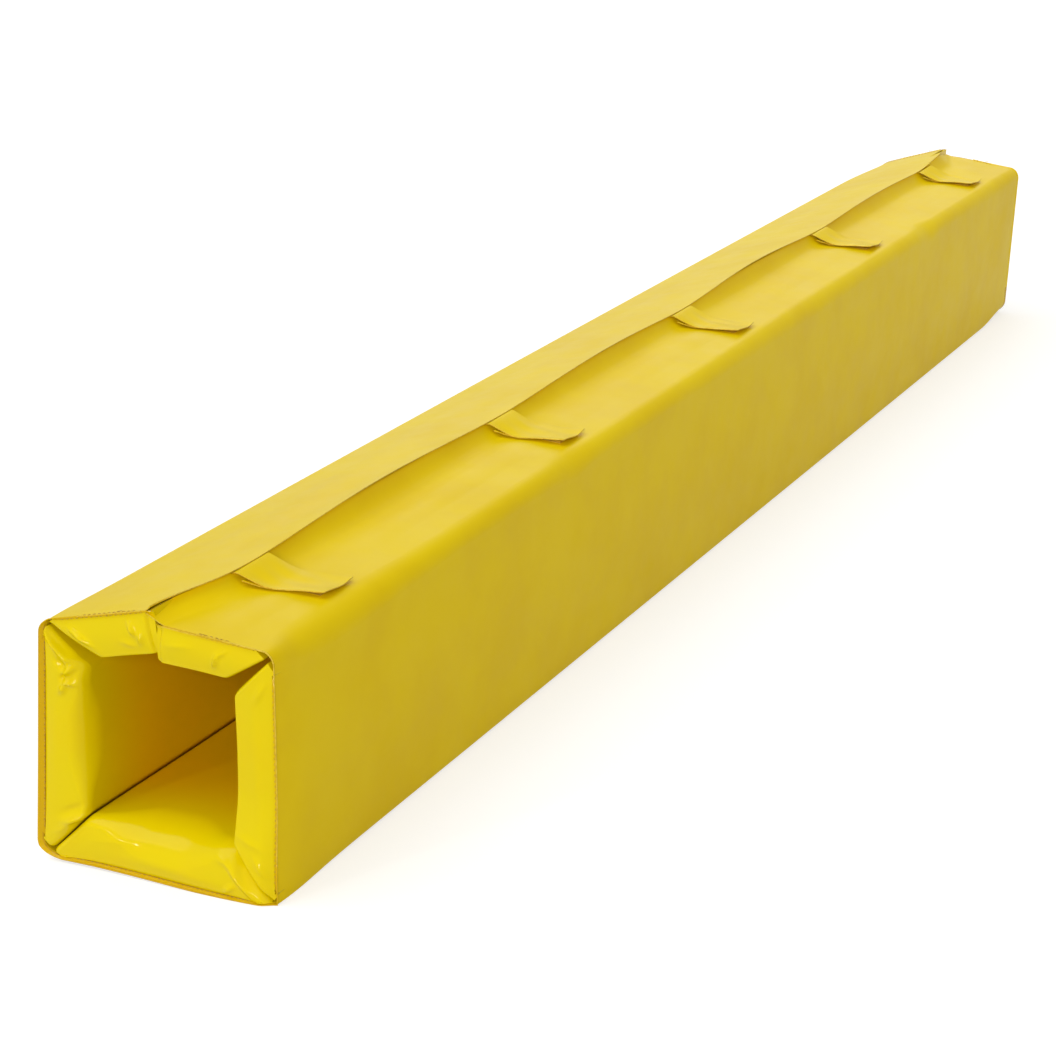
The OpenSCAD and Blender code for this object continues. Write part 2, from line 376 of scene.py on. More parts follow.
def seam_crease():
    """The stitched crease at an end seam: dark as painted shade in the crease, with darker
    dirty spots, and thread lying in it.
    """
    m, t, place = finish("stitched_crease_painted_shade", IOR=1.5, Specular_IOR_Level=0.15)
    spots = node(t, "TexNoise", dict(Vector=place, Scale=MM / 6, Detail=4, Roughness=0.7))
    dust_and_shade = node(t, "MapRange", (spots[0], 0.35, 0.65), **SMOOTH)
    base = node(t, "Mix", {0: dust_and_shade[0], 6: "#BE960E", 7: "#9A740A"}, **COLOURS)
    rough = node(t, "MapRange", (dust_and_shade[0], 0, 1, 0.5, 0.75), **SMOOTH)
    return surface(m, base[2], rough[0], dust_and_shade[0], 0.3, 0.0002)


def sewing_thread():
    """Bonded polyester thread, twisted: a soft sheen broken by the twist. The twist is 0.4 mm and
    is drawn at 0.8 mm."""
    m, t, place = finish("polyester_thread", IOR=1.55, Specular_IOR_Level=0.4)
    turns = dict(Vector=place, Scale=MM / 0.8 / (2 * pi), Distortion=0.6)
    twist = node(t, "TexWave", turns, bands_direction="DIAGONAL")["Fac"]
    base = node(t, "Mix", {0: twist, 6: "#A07A0C", 7: "#C49C20"}, **COLOURS)
    rough = node(t, "MapRange", (twist, 0, 1, 0.45, 0.6), **SMOOTH)
    return surface(m, base[2], rough[0], twist, 0.5, 0.0001)


def foam_block():
    """Flexible polyurethane foam, cut from a block: pale cream, dull, with open cells. The cells
    are 0.8 mm and are drawn at 1.6 mm."""
    m, t, place = finish("open_cell_foam", IOR=1.4, Specular_IOR_Level=0.1)
    cells = node(t, "TexVoronoi", dict(Vector=place, Scale=MM / 1.6))["Distance"]
    spots = node(t, "TexNoise", dict(Vector=place, Scale=MM / 80, Detail=3, Roughness=0.55))
    aged = node(t, "MapRange", (spots[0], 0.3, 0.7), **SMOOTH)
    base = node(t, "Mix", {0: aged[0], 6: "#F1E9CE", 7: "#E6D9AE"}, **COLOURS)
    rough = node(t, "MapRange", (cells, 0, 1, 0.85, 0.98), **SMOOTH)
    return surface(m, base[2], rough[0], cells, 0.6, 0.0006)


def woven_tape(name, light, dark, rough_low, rough_high):
    """Woven nylon touch tape, dyed to match: a dull ribbed ground. The ribs are 0.5 mm apart and
    are drawn at 1 mm."""
    m, t, place = finish(name, IOR=1.53, Specular_IOR_Level=0.25)
    weave = dict(Vector=place, Scale=MM / 1.0 / (2 * pi), Distortion=0.2)
    ribs = node(t, "TexWave", weave, bands_direction="Y")["Fac"]
    fuzz = node(t, "TexNoise", dict(Vector=place, Scale=MM / 1.5, Detail=4, Roughness=0.7))[0]
    share = node(t, "Math", (ribs, fuzz), operation="MULTIPLY")[0]
    ground = node(t, "MapRange", (share, 0.05, 0.6), **SMOOTH)
    base = node(t, "Mix", {0: ground[0], 6: dark, 7: light}, **COLOURS)
    rough = node(t, "MapRange", (fuzz, 0.2, 0.8, rough_low, rough_high), **SMOOTH)
    return surface(m, base[2], rough[0], share, 0.5, 0.0003)


COVER = coated_cover_cloth()
# The lining's second colour is painted light: an amber for the light the walls throw on each other
# inside
LINING = coated_lining_cloth("coated_cloth_gloss", "#DBC402", "#EDBE04", "#DEBC02")
# The seam allowance is one darker amber: painted shade on the cloth that turns out at the seams
ALLOWANCE_PAINTED_SHADE = coated_lining_cloth("seam_allowance_painted_shade", "#CCA608", "#CCA608", "#C29806")
EDGE = cut_edge()
# Painted shade in the creases at the end seams, with darker dirty spots
PAINTED_CREASE_SHADE = seam_crease()
THREAD = sewing_thread()
FOAM = foam_block()
HOOK = woven_tape("hook_tape_nylon", "#D2A92A", "#A67F12", 0.45, 0.65)
LOOP = woven_tape("loop_tape_nylon", "#D8B440", "#AB8520", 0.75, 0.9)


# Rows along the sleeve

def rows_along(count, power=2.2):
    """Places from -END_Y to END_Y, close together near both ends: sign(k) (1 - (1 - |k|)^power)."""
    k = np.linspace(-1, 1, count)
    return np.sign(k) * (1 - (1 - np.abs(k)) ** power) * END_Y


BODY_ROWS = rows_along(121)
# Steps of the seam allowance from the seam to its cut edge, as shares of its width
ALLOWANCE_STEPS = np.array([0.18, 0.58, 1.0])[:, None]


# Outer skin: covers and the cloth round the corners

# How far each face is drawn in at the front end's seam, the angle at which its seam allowance
# turns outwards, and its width. At the back end: the share of that draw, and one angle and width
PULL = by_panel(3.4, 2.0, 1.5, 0.5, 0.5)
FLARE = by_panel(*(radians(turn) for turn in (30, 45, 25, 15, 12)))
ALLOWANCE = by_panel(3.0, 4.2, 2.6, 2.2, 2.0)
BACK_PULL = 0.2
BACK_FLARE = radians(8)
BACK_ALLOWANCE = 5.0


def pull_at(y, amount):
    """Inward draw of the skin towards its end seams, over the last 45 mm; less at the back."""
    gap = np.clip((END_Y - np.abs(y)) / 45, 0, 1)
    return amount * np.where(y > 0, BACK_PULL, 1) * (1 - gap) ** 2.5


def dents(s, y, seed):
    """Low waves in the skin: six sine waves of 120 to 700 mm with fixed random phases."""
    r = np.random.default_rng(seed)
    out = 0
    for _ in range(6):
        ly, ls = r.uniform(180, 700), r.uniform(120, 400)
        height = r.uniform(0.3, 1.0)
        out = out + height * np.sin(2 * pi * (y / ly + s / ls) + r.uniform(0, 6.28))
    return 0.16 * out


def skin(curve, y, normal, pull, flare, allowance):
    """Adds the end seams to a piece of the outer skin. curve gives x and z, and normal the outward
    direction, at every row and column. Rows of seam allowance go on at both ends, turned outwards
    from the sleeve's direction by flare at the front end and BACK_FLARE at the back."""
    x, z = curve
    nx, nz = normal
    draw = pull_at(y, pull)
    x, z = x - nx * draw, z - nz * draw
    y = np.broadcast_to(y, x.shape)
    fins = []
    for end, row, angle, width in ((-1, 0, flare, allowance), (1, -1, BACK_FLARE, BACK_ALLOWANCE)):
        step = ALLOWANCE_STEPS * width
        out = np.sin(angle) * step
        on = end * (END_Y + np.cos(angle) * step) + 0 * x[row]
        fins.append(np.stack([x[row] + nx[row] * out, on, z[row] + nz[row] * out], -1))
    return np.concatenate([fins[0][::-1], np.stack([x, y, z], -1), fins[1]])


def face_normal(name):
    """Outward direction of a panel's outer face in X and Z."""
    a, b = PLACE[name](50.0, 0.0), PLACE[name](50.0, 1.0)
    return a[0] - b[0], a[1] - b[1]


def crown(s, s0, s1):
    """A swell between two borders, flat at both: (1 - k^2)^2, where k runs from -1 to 1."""
    k = np.clip((2 * s - s0 - s1) / (s1 - s0), -1, 1)
    return (1 - k * k) ** 2


# How far the foam swells each face, and where its cover ends. Along the joint the left half's goes
# on as the flap, and the right half's as the lip from where that is sewn down
SWELL = by_panel(0.0, 2.0, 1.6, 1.0, 0.6)
FLAP_START = HALF_W - 3.0
LIP_FOOT = HALF_W - 28.0
COVER_END = by_panel(*[OUTER - STRIP] * 3, FLAP_START, LIP_FOOT)


def face_depth(name, s, y):
    """How far the outer face lies inside (+) or outside (-) its plane: none at its borders."""
    end = COVER_END[name]
    wave = 0 if name == "bottom" else dents(s, y, len(name) * 7)
    return -(SWELL[name] + wave) * crown(s, STRIP, end) * ramp(0, 60, END_Y - np.abs(y))


def cover_grid(name):
    """Cover of one panel: its plane, swollen a little by the foam. The right half's goes on to the
    joint one step deeper, under the lip."""
    end = COVER_END[name]
    s = np.linspace(STRIP, end, 41)
    if name == "top_right":
        s = np.concatenate([s, [LIP_FOOT + 0.05], np.linspace(LIP_FOOT + 2, HALF_W + 1, 9)])
    s, y = s[None, :], BODY_ROWS[:, None]
    t = face_depth(name, s, y) + np.where(s > end, SHEET + 0.2, 0)
    x, z = PLACE[name](s + 0 * y, t)
    normal = [part + 0 * x for part in face_normal(name)]
    return skin((x, z), y, normal, PULL[name], FLARE[name], ALLOWANCE[name])


# The corners: the panels on both sides, whether the first is met at its high end (the second is
# at its low end), the direction that the cloth faces, and what is added to the fold's radius:
# everywhere, at both ends (amount, reach) and at single places (place, half width, amount)
CORNERS = {
    "bottom_left": ("bottom", "left", False, (-1, 0, -1), 0, (5, 120), (6, 120), ()),
    "bottom_right": ("bottom", "right", True, (1, 0, -1), -8, (0, 50), (12, 110), ()),
    "top_left": ("left", "top_left", True, (-1, 0, 1), 1, (-3, 100), (4, 100), ()),
    "top_right": ("right", "top_right", True, (1, 0, 1), 3, (-8, 45), (-2, 90),
                  ((-900, 110, 7), (-472, 26, 6), (150, 160, 2), (596, 24, 8))),
}


def corner_radius(corner, y):
    """Radius of the cloth round a corner: the fold's own plus what each end and place adds."""
    everywhere, front, back, places = CORNERS[corner][4:]
    r = FOLD_R + everywhere + front[0] * near_end(y, front[1]) + back[0] * near_end(y, back[1], 1)
    for at, width, more in places:
        r = r + more * hump(y, at, width)
    return r


def corner_grid(corner):
    """Cloth round the corner between two panels. Both faces run straight to the distance rho from
    where their planes meet, and a circular arc joins them: a conic of weight cos(turn / 2)."""
    a, b, high = CORNERS[corner][:3]
    y = BODY_ROWS[:, None]
    rho = corner_radius(corner, y)[..., None]
    pa0, pa1 = (np.array(PLACE[a](OUTER - v if high else v, 0.0)) for v in (STRIP, 0.0))
    pb0, pb1 = (np.array(PLACE[b](v, 0.0)) for v in (STRIP, 0.0))
    da, db = unit(pa1 - pa0), unit(pb0 - pb1)
    k = np.linalg.solve(np.stack([da, -db], 1), pb1 - pa0)
    apex = pa0 + k[0] * da
    len_a, len_b = k[0], np.linalg.norm(pb0 - apex)
    turn = acos(np.clip(da @ db, -1, 1))
    m = steps(10)[None]
    first = pa0 + da * ((len_a - rho) * m)
    last = apex + db * (rho + (len_b - rho) * m)
    q = steps(49)[None, 1:-1]
    arc = conic(apex - da * rho, apex, apex + db * rho, cos(turn / 2), q)
    curve = np.concatenate([first, arc, last], 1)
    dx, dz = np.moveaxis(unit(np.gradient(curve, axis=1)), -1, 0)
    out = apex - (pa0 + pb0) / 2
    side = np.sign(dz[0, 20] * out[0] - dx[0, 20] * out[1])
    share = ramp(0.25, 0.75, steps(curve.shape[1]).T)
    pull, flare, allowance = (d[a] + (d[b] - d[a]) * share for d in (PULL, FLARE, ALLOWANCE))
    normal = (side * dz, -side * dx)
    return skin(np.moveaxis(curve, -1, 0), y, normal, pull, flare, allowance)


for panel, end in COVER_END.items():
    piece = cloth(f"cover_cloth_{panel}", cover_grid(panel), SEEN_FROM[panel], COVER, EDGE,
                  crease=panel in ("bottom", "left"))
    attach(piece, BODY[panel])
    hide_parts(f"cover_{panel}")


def across_fold(corner):
    """Points on both panels' faces, FOLD_R + 2 mm from the corner, settled and in metres."""
    a, b, high = CORNERS[corner][:3]
    s = FOLD_R + 2
    ends = PLACE[a](OUTER - s if high else s, 0.0), PLACE[b](s, 0.0)
    return [tuple(settle([x, 0.0, z]) / MM) for x, z in ends]


for corner, plan in CORNERS.items():
    piece = cloth(f"fold_cloth_{corner}", corner_grid(corner), plan[3], COVER, EDGE,
                  crease=corner != "top_right")
    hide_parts(f"fold_{corner}")
    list(across_fold(corner))
    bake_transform(piece)


# Linings

def rounded_path(points, radius, step):
    """Straight lines between the points, whose inner corners are cut by parabolas that start and
    end radius away; a point about every step, and closer round the corners."""
    def straight(a, b):
        """Points from a to b."""
        n = max(2, int(np.linalg.norm(b - a) / step))
        return a + (b - a) * steps(n)

    points = np.array(points, float)
    q = steps(9)[1:-1]
    out, start = [], points[0]
    for before, corner, after, r in zip(points, points[1:], points[2:], radius):
        d, e = corner - before, after - corner
        r = min(r, 0.45 * np.linalg.norm(d), 0.45 * np.linalg.norm(e))
        stop, leave = corner - unit(d) * r, corner + unit(e) * r
        out += [straight(start, stop), conic(stop, corner, leave, 1, q)]
        start = leave
    return np.concatenate([*out, straight(start, points[-1])])


def inside(a, b, s, t):
    """Distance of (s, t) from the line a-b, on the side of the end face's middle."""
    a, b = np.array(a, float), np.array(b, float)
    d = unit(b - a)
    return (s - a[0]) * d[1] - (t - a[1]) * d[0]


def rolled_edge(d, across, deep):
    """Depth of a quarter of an ellipse, across wide and deep long, at the distance d from its
    edge: deep (1 - sqrt(1 - (1 - d / across)^2))."""
    k = np.clip(1 - d / across, 0, 1)
    return deep * (1 - np.sqrt(np.maximum(1 - k * k, 0)))


def facet_edge(d, width, drop):
    """Depth of a flat facet that falls by drop over width towards its edge: drop times half of
    x + sqrt(x^2 + 0.02), which softens its crest."""
    x = 1 - d / width
    return drop * 0.5 * (x + np.sqrt(x * x + 0.02)) - drop * 0.005


# Each lining's outline across its panel, (s, t), from seam to seam; how round each of its corners
# is; and the size, (across, deep), of the roll along the low, inner and high edge of its front and
# back end. The front end's high edge is a facet, (width, drop), on the panels in FACETED
FACETED = ("bottom", "left")
LININGS = {
    "bottom": dict(
        keys=[(18, 0.8), (9.4, 8.8), (36.3, 41.4), (164.6, 41), (194.5, 4.1), (188, 0.8)],
        corner=[4, 3, 5, 2],
        front=((4, 4), (27, 36), (12, 9)),
        back=((5, 5), (14, 18), (5, 5)),
    ),
    "left": dict(
        keys=[(18, 0.8), (9.4, 8.8), (42.6, 35.4), (163.6, 36), (194.5, 4.1), (188, 0.8)],
        corner=[4, 3, 5, 2],
        front=((6, 6), (14, 24), (11, 9)),
        back=((5, 5), (10, 12), (5, 5)),
    ),
    "right": dict(
        keys=[(12, 0.8), (5.5, 4.1), (42.4, 36.6), (163.6, 35.4), (191.8, 6.8), (182, 0.8)],
        corner=[2, 4, 8, 3],
        front=((3, 3), (3, 4), (3, 4)),
        back=((4, 4), (8, 8), (4, 4)),
    ),
    "top_left": dict(
        keys=[(12, 0.8), (5.5, 4.1), (42, 35), (HALF_W, 35), (HALF_W, 0.8)],
        corner=[2, 5, 4],
        front=((5, 6), (4, 4), (3, 3)),
        back=((5, 5), (8, 8), (4, 4)),
    ),
    "top_right": dict(
        keys=[(18, 0.8), (8.2, 6.8), (38.3, 30), (HALF_W + 2, 31.5), (HALF_W + 2, 0.8)],
        corner=[3, 4, 3],
        front=((2.5, 3), (2.5, 2.5), (2.5, 2.5)),
        back=((4, 4), (6, 6), (4, 4)),
    ),
}


def puff(name, s, y):
    """Extra thickness of a wall near its front end, where the cloth gathers."""
    if name == "bottom":
        return crown(s, 20, 180) * 3 * near_end(y, 190)
    if name == "left":
        return -1.5 * hump(s, 165, 22) * near_end(y, 120)
    return 0 * s * y


# Puckers in each panel's front end face, most of them near its corners: s, t, half length, half
# width, turn in degrees, height
PUCKERS = by_panel(
    [(170, 18.5, 15, 2.0, -45, 1.8), (161, 11, 5, 2.2, 40, 1.5), (166, 27, 7, 2.4, 120, 1.4),
     (156, 31, 9, 3.0, 170, 1.0), (60, 26, 22, 4, 6, 0.5), (110, 14, 45, 5, 178, 0.7)],
    [(180, 12, 15, 2.0, -45, 2.4), (160, 24, 5, 2.4, 60, 3.0), (155, 20, 4, 2.2, 10, -2.0),
     (151, 25, 5, 2.0, 100, 2.6), (146, 20, 4.5, 2.2, 30, 2.2), (165, 18, 6, 2.4, 130, -1.8),
     (169, 26, 7, 2.6, 110, 1.8), (38, 27, 9, 2.6, 68, 3.0), (46, 24, 10, 3.0, 60, -1.2),
     (30, 18, 9, 2.4, 50, 1.0), (100, 12, 40, 7, 3, 0.6)],
    [(166, 14, 9, 2.6, 150, 1.0), (30, 12, 9, 2.6, 40, 1.0), (48, 22, 14, 3, 75, 0.7),
     (100, 16, 50, 6, 2, 0.5)],
    [(80, 14, 5, 2.2, 70, 2.6), (86, 22, 5, 2.0, 100, 2.2), (33, 17, 10, 2.0, 42, 2.2),
     (74, 25, 7, 2.4, 20, 0.8)],
    [(48, 18, 4.5, 1.8, 80, 2.6), (44, 11, 5, 2.0, 40, 1.0), (80, 14, 10, 3, 10, 0.6)],
)


def puckers(name, s, t):
    """Small swellings and dips in an end face: a sum of stretched bell curves."""
    out = 0 * s
    for s0, t0, long, short, turn, height in PUCKERS[name]:
        a = radians(turn)
        u = (s - s0) * cos(a) + (t - t0) * sin(a)
        v = -(s - s0) * sin(a) + (t - t0) * cos(a)
        out = out + 1.5 * height * np.exp(-((u / long) ** 2) - (v / short) ** 2)
    return out


def roll_share(keys, s):
    """The inner edge's roll is full along the middle and 0.3 of that at the mitres."""
    return 0.3 + 0.7 * ramp(2, 50, s - keys[2][0]) * ramp(0, 50, keys[3][0] - s)


def end_depth(name, end, s, t):
    """How far an end face lies inside its plane: what its three edges take off, less the puckers
    and a pillow-like swell."""
    keys = LININGS[name]["keys"]
    depth = 0 * s
    for edge, (size, drop) in enumerate(LININGS[name][end]):
        d = np.maximum(inside(keys[edge + 1], keys[edge + 2], s, t), 0)
        if edge == 2 and end == "front" and name in FACETED:
            share = 0.25 + 0.75 * np.clip(t / WALL, 0, 1)
            depth = depth + facet_edge(d, size * share, drop * share) + rolled_edge(d, 2.0, 2.0)
        else:
            k = roll_share(keys, s) if edge == 1 else 1
            depth = depth + rolled_edge(d, size * k, drop * k)
    pillow = 2.2 * np.sin(np.pi * np.clip(t / keys[2][1], 0, 1))
    extra = puckers(name, s, t) if end == "front" else 0
    return (depth - extra) * ramp(0.5, 6, t) - pillow


def joint_reach(name, s, t, y):
    """Near the ends the top halves' joint faces bulge towards each other, most at their tops."""
    reach = {"top_left": 3.9, "top_right": 2.4}.get(name, 0)
    reach = reach * (1.8 - 0.8 * np.clip(t / WALL, 0, 1)) * ramp(HALF_W - 14, HALF_W, s)
    return reach * np.maximum(near_end(y, 220), near_end(y, 220, 1))


def lining_grid(name):
    """Lining of one panel in one sheet. Columns follow the rounded outline of its mitred and inner
    faces. Rows run the length of the sleeve, turn over each end, fan down the end face to the seam
    and go on as seam allowance."""
    plan = LININGS[name]
    outline = rounded_path(plan["keys"], plan["corner"], 1.6)
    s_p, t_p = outline.T
    length = np.concatenate([[0], np.cumsum(np.hypot(np.diff(s_p), np.diff(t_p)))])
    share = length / length[-1]
    seam_s = s_p[0] + (s_p[-1] - s_p[0]) * share
    scale = t_p / t_p.max()
    down = steps(41) ** 1.6
    faces = []
    for end, sign in (("front", -1), ("back", 1)):
        seam_t = 2 * SHEET + pull_at(sign * END_Y, PULL[name])
        t_e = t_p + puff(name, s_p, sign * END_Y * np.ones(len(s_p))) * scale
        s = s_p + (seam_s - s_p) * down
        t = t_e + (seam_t - t_e) * down
        s = s + joint_reach(name, s, t, sign * END_Y)
        y = sign * (END_Y - end_depth(name, end, s, t * t_p / t_e))
        y[-1] = sign * END_Y
        width, angle = (ALLOWANCE[name], FLARE[name]) if sign < 0 else (BACK_ALLOWANCE, BACK_FLARE)
        step = ALLOWANCE_STEPS * width * ramp(0, 0.05, share) * ramp(0, 0.05, 1 - share)
        fin_y = sign * (END_Y + np.cos(angle) * step)
        fin = (s[-1] + 0 * step, t[-1] - np.sin(angle) * step, fin_y)
        faces.append(np.concatenate([(s, t, y), fin], 1))
    front, back = faces
    nominal = BODY_ROWS[1:-1, None]
    k = (nominal + END_Y) / (2 * END_Y)
    y = front[2, 0] + (back[2, 0] - front[2, 0]) * k
    t = t_p + puff(name, s_p, nominal) * scale
    s = s_p + joint_reach(name, s_p, t, nominal)
    s, t, y = np.concatenate([front[:, ::-1], (s, t, y), back], 1)
    x, z = PLACE[name](s, t)
    return np.stack([x, y, z], -1), length[-1]


for panel in PANELS:
    grid, girth = lining_grid(panel)
    facing = -np.array(SEEN_FROM[panel])
    piece = cloth(f"lining_cloth_{panel}", grid, facing, LINING, EDGE, 50, True)
    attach(piece, BODY[panel])
    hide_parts(f"lining_{panel}")


# Foam

def foam_grid(name):
    """Foam core: the lining's outline, closed and taken in by 5 mm, carried along the sleeve and
    drawn in at both ends to sqrt(1 - |k|^60) of its thickness."""
    plan = LININGS[name]
    outline = rounded_path(plan["keys"] + [plan["keys"][0]], plan["corner"] + [1, 1], 4)[:-1]
    centre = outline.mean(0)
    off = outline - centre
    outline = centre + off * np.clip(1 - 5.0 / np.linalg.norm(off, axis=1, keepdims=True), 0.5, 1)
    k = np.linspace(-1, 1, 41)
    k = np.sign(k) * (1 - (1 - np.abs(k)) ** 3)
    share = np.sqrt(np.maximum(1 - np.abs(k) ** 60, 1e-6))[:, None]
    s = centre[0] + (outline[:, 0] - centre[0]) * (0.75 + 0.25 * share)
    t = centre[1] + (outline[:, 1] - centre[1]) * share * 0.86
    y = (k * (END_Y - 55))[:, None] + 0 * s
    x, z = PLACE[name](s, t)
    return settle(np.stack([x, y, z], -1))


def close_ends(piece):
    """Fills the open rings of a mesh and turns its faces outwards."""
    mesh = bmesh.new()
    mesh.from_mesh(piece.data)
    bmesh.ops.holes_fill(mesh, edges=[e for e in mesh.edges if e.is_boundary], sides=0)
    bmesh.ops.recalc_face_normals(mesh, faces=mesh.faces)
    mesh.to_mesh(piece.data)
    mesh.free()


for panel in PANELS:
    grid = foam_grid(panel)
    piece = new_mesh(f"foam_core_{panel}", grid, grid_quads(*grid.shape[:2], True), FOAM, 60)
    close_ends(piece)
    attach(piece, BODY[panel])
    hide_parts(f"foam_{panel}")


# Flap, lip and tabs

FLAP_W = 21.0
FLAP_END = END_Y + 1
FLAP_ROWS = rows_along(241, 1.6) / END_Y * FLAP_END


def flap_line(y):
    """How far the flap and the lip reach past the joint: full but for the ends, cut in a curve."""
    return FLAP_W - 16 * near_end(y, 110) ** 1.6 - 9 * near_end(y, 90, 1) ** 1.5


def flap_width(y):
    """Width of the flap: as flap_line, but its back end is cut off some 65 mm short."""
    return 0.6 + (flap_line(y) - 0.6) * ramp(58, 70, HALF_LENGTH - y)


def flap_drop(y):
    """Drop of the free edge: 1.5 mm at the tabs, and less at both ends and midway between tabs,
    where the loose cloth stands up in waves of unequal height."""
    wave = (1 - np.cos(2 * pi * (y - TAB_Y[0]) / TAB_PITCH)) / 2
    between = (y > TAB_Y[0]) & (y < TAB_Y[-1])
    uneven = 1 + 0.22 * np.sin(y / 173 + 0.6)
    ends = 4 * near_end(y, 125) + 9.5 * near_end(y, 190, 1)
    return 1.5 - 5.2 * np.where(between, wave**0.8 * uneven, 0.0) - ends


def flap_point(u, y, width):
    """u from the left half's joint edge (0) to the free edge (1), width away; the drop grows as
    u^2 and is less where the flap is cut off."""
    pull = pull_at(y, PULL["top_left"]) * (1 - u)
    return on_top_left(HALF_W + u * width, flap_drop(y) * u * u * width / flap_line(y) + pull)


def flap_grid():
    """The flap carries the left half's cover on past the joint to its free edge."""
    y = FLAP_ROWS[:, None]
    near = np.linspace(FLAP_START, HALF_W, 4)[None, :-1]
    x0, z0 = on_top_left(near + 0 * y, 0 * near + pull_at(y, PULL["top_left"]))
    x1, z1 = flap_point(steps(15).T, y, flap_width(y))
    x, z = np.concatenate([x0, x1], 1), np.concatenate([z0, z1], 1)
    return np.stack([x, y + 0 * x, z], -1)


piece = cloth("closing_flap_cloth", flap_grid(), (0, 0, 1), COVER, EDGE)
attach(piece, "left_top_half")
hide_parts("closing_flap")


def lip_grid():
    """The cloth lies flat on the right half and then stands up under the flap's free edge in a
    conic, whose foot comes closer to the joint at both ends, where the end seams hold lip and
    cover together. At the back end it sags clear of the flap."""
    y = FLAP_ROWS[:, None]
    held = np.maximum(near_end(y, 85), near_end(y, 70, 1))
    foot_s = LIP_FOOT + 2.5 + 23 * held
    pull = pull_at(y, PULL["top_right"])
    start = np.stack(on_top_right(LIP_FOOT + 0 * y, pull), -1)
    foot = np.stack(on_top_right(foot_s, pull), -1)
    bend = np.stack(on_top_right(foot_s + 15 - 12 * held, pull), -1)
    top = np.stack(flap_point(1 - 4.0 / flap_line(y), y, flap_line(y)), -1)
    sag = 1.5 + 10.0 * near_end(y, 90, 1)
    top = top + np.stack([0.4 + 0 * y, -sag], -1)
    m = steps(8)[None, :-1]
    q = steps(24)[None]
    xz = np.concatenate([start + (foot - start) * m, conic(foot, bend, top, 1.9, q)], 1)
    return np.stack([xz[..., 0], y + 0 * xz[..., 0], xz[..., 1]], -1)


piece = cloth("lip_cloth", lip_grid(), (0, 0, 1), COVER, EDGE)
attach(piece, "right_top_half")
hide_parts("closing_lip")

# The tapes' place across the right half, from its corner, and their length along the sleeve; how
# far the loops' backing, the hooks' backing and the tab lie above the cover
TAPE_START = 27.0
TAPE_END = 55.0
TAPE_LONG = 28.0
LOOPS_UP = 0.5
HOOKS_UP = 1.9
TAB_UP = 2.7
TAB_END = 20.0
# Each tab's root is a little nearer the front than its even place, and the tab slants back
TAB_DRIFT = 13.0
TAB_ROOT = [y - shift for y, shift in zip(TAB_Y, (6, 6, 6, 8, 24))]


def tab_section():
    """The tab's line across the sleeve, in X and Z: from under the flap's free edge it comes down
    in a curve, lies flat over the tapes and lifts a little at its free end."""
    under = flap_drop(np.array(TAB_Y[0])) + SHEET + 0.15
    tuck, edge = (np.array(on_top_left(HALF_W + s, under)) for s in (FLAP_W - 3, FLAP_W))
    lie, flat = (np.array(on_top_right(s, -TAB_UP)) for s in (TAPE_END + 3, TAPE_START))
    tip = np.array(on_top_right(TAB_END, -TAB_UP - 0.8))
    knee = edge + (edge - tuck) * 1.2
    bend = lie - unit(flat - lie) * 13
    q = steps(20)[1:]
    curve = (1 - q) ** 3 * edge + 3 * q * (1 - q) ** 2 * knee
    curve = curve + 3 * q**2 * (1 - q) * bend + q**3 * lie
    lies = lie + (flat - lie) * steps(16)[1:]
    lifts = flat + (tip - flat) * steps(5)[1:]
    return np.concatenate([[tuck, edge], curve, lies, lifts])


def tab_grid(n):
    """The section carried along the tab's width, which narrows and drifts towards its free end.
    Sine waves ripple the cloth by fractions of a millimetre, and the free corners lift."""
    path = tab_section()
    k = steps(len(path))
    v = np.linspace(-1, 1, 25)[None, :]
    r = np.random.default_rng(20 + n)
    lift = r.uniform(0.3, 1.8, 2)
    y = TAB_ROOT[n] + v * (TAB_W / 2 - 2.5 * k) + TAB_DRIFT * ramp(0, 1, k)
    x = path[:, :1] - k * v * v
    near = (2.2 + 0.8 * lift[1]) * ramp(0.35, 1, k) * ramp(-0.4, 1, -v)
    corners = near + lift[0] * ramp(0.7, 1, k) * ramp(0.2, 1, v)
    ripple = (0.4 * np.sin(3 * v + n) + 0.3 * np.sin(7 * v + 9 * k + 2 * n)) * ramp(0.08, 0.4, k)
    z = path[:, 1:] + ripple * ramp(0, 0.4, 1 - k) + corners
    return np.stack([x, y, z], -1)


def tab_backing_grid(n):
    """The tab's second ply, sewn under it behind the tapes and lying on the right half: its outline
    is a curve, (1 - k)^4, that runs out towards the joint in a point."""
    k, v = steps(21), steps(9).T
    x, z = on_top_right(64 + 19 * k + 0 * v, -(1.7 + 5.0 * k**1.4) + 0 * v)
    y = TAB_ROOT[n] - 15.5 - 9.5 * k + (1.5 + 30 * (1 - k) ** 4) * v
    return np.stack([x, y, z], -1)


for n in range(TAB_COUNT):
    piece = cloth(f"tab_cloth_{n + 1}", tab_grid(n), (0, 0, 1), COVER, EDGE)
    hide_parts(f"tab_{n + 1}")
    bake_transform(piece)
    piece = cloth(f"tab_backing_cloth_{n + 1}", tab_backing_grid(n), (0, 0, 1), COVER, EDGE)
    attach(piece, f"tab_{n + 1}_body")


# Touch tapes

def tape_place(n, s, y):
    """Every pair of s and y, with y measured from the middle of tab n's tapes."""
    return np.meshgrid(s, TAB_ROOT[n] + 0.8 * TAB_DRIFT + y, indexing="ij")


def tape_grid(n, up):
    """The tape's woven ground: a flat strip along Y, up above the right half's cover."""
    half = TAPE_LONG / 2
    s, y = tape_place(n, np.linspace(TAPE_START, TAPE_END, 17), np.linspace(-half, half, 17))
    x, z = on_top_right(s, -up + 0 * s)
    return np.stack([x, y, z], -1)


